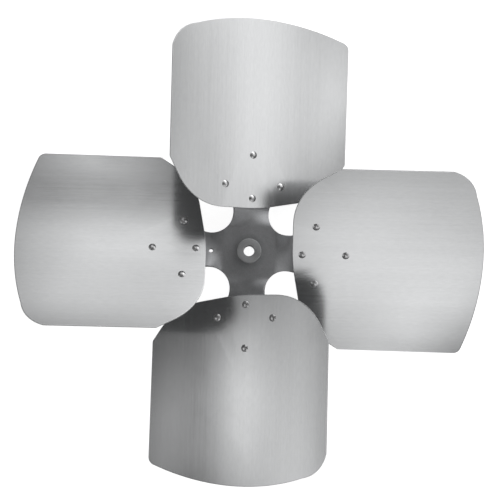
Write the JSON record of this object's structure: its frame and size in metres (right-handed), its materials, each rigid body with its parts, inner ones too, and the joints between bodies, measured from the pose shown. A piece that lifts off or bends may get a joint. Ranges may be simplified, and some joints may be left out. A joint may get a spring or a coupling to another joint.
{
  "type": "axial fan blade rotor",
  "caption": "Propeller fan rotor: cambered sheet aluminium blades riveted to a stamped steel spider on a turned hub that moves air when a motor shaft turns it.",
  "frame": {"origin": "on the fan axis, at the level floor that the blades' low edges rest on", "axes": "+Z along the fan axis towards the hub barrel and the blades' concave side, +Y along the centre line of blade_north"},
  "size_m": [0.5588, 0.5588, 0.0981],
  "materials": {
    "blade": "mill finish sheet, grain along the blade",
    "spider": "plain stamped steel, satin",
    "hub": "turned steel",
    "set_screw": "black oxide",
    "rivet": "bright, smooth dome"
  },
  "bodies": {
    "root": {"hub": "hub", "set_screw": "set_screw", "spider": "spider", "blade_north": "blade", "blade_east": "blade", "blade_south": "blade", "blade_west": "blade", "rivet_north_inner": "rivet", "rivet_north_outer": "rivet", "rivet_north_raised_side": "rivet", "rivet_north_low_side": "rivet", "rivet_east_inner": "rivet", "rivet_east_outer": "rivet", "rivet_east_raised_side": "rivet", "rivet_east_low_side": "rivet", "rivet_south_inner": "rivet", "rivet_south_outer": "rivet", "rivet_south_raised_side": "rivet", "rivet_south_low_side": "rivet", "rivet_west_inner": "rivet", "rivet_west_outer": "rivet", "rivet_west_raised_side": "rivet", "rivet_west_low_side": "rivet"}
  },
  "joints": []
}
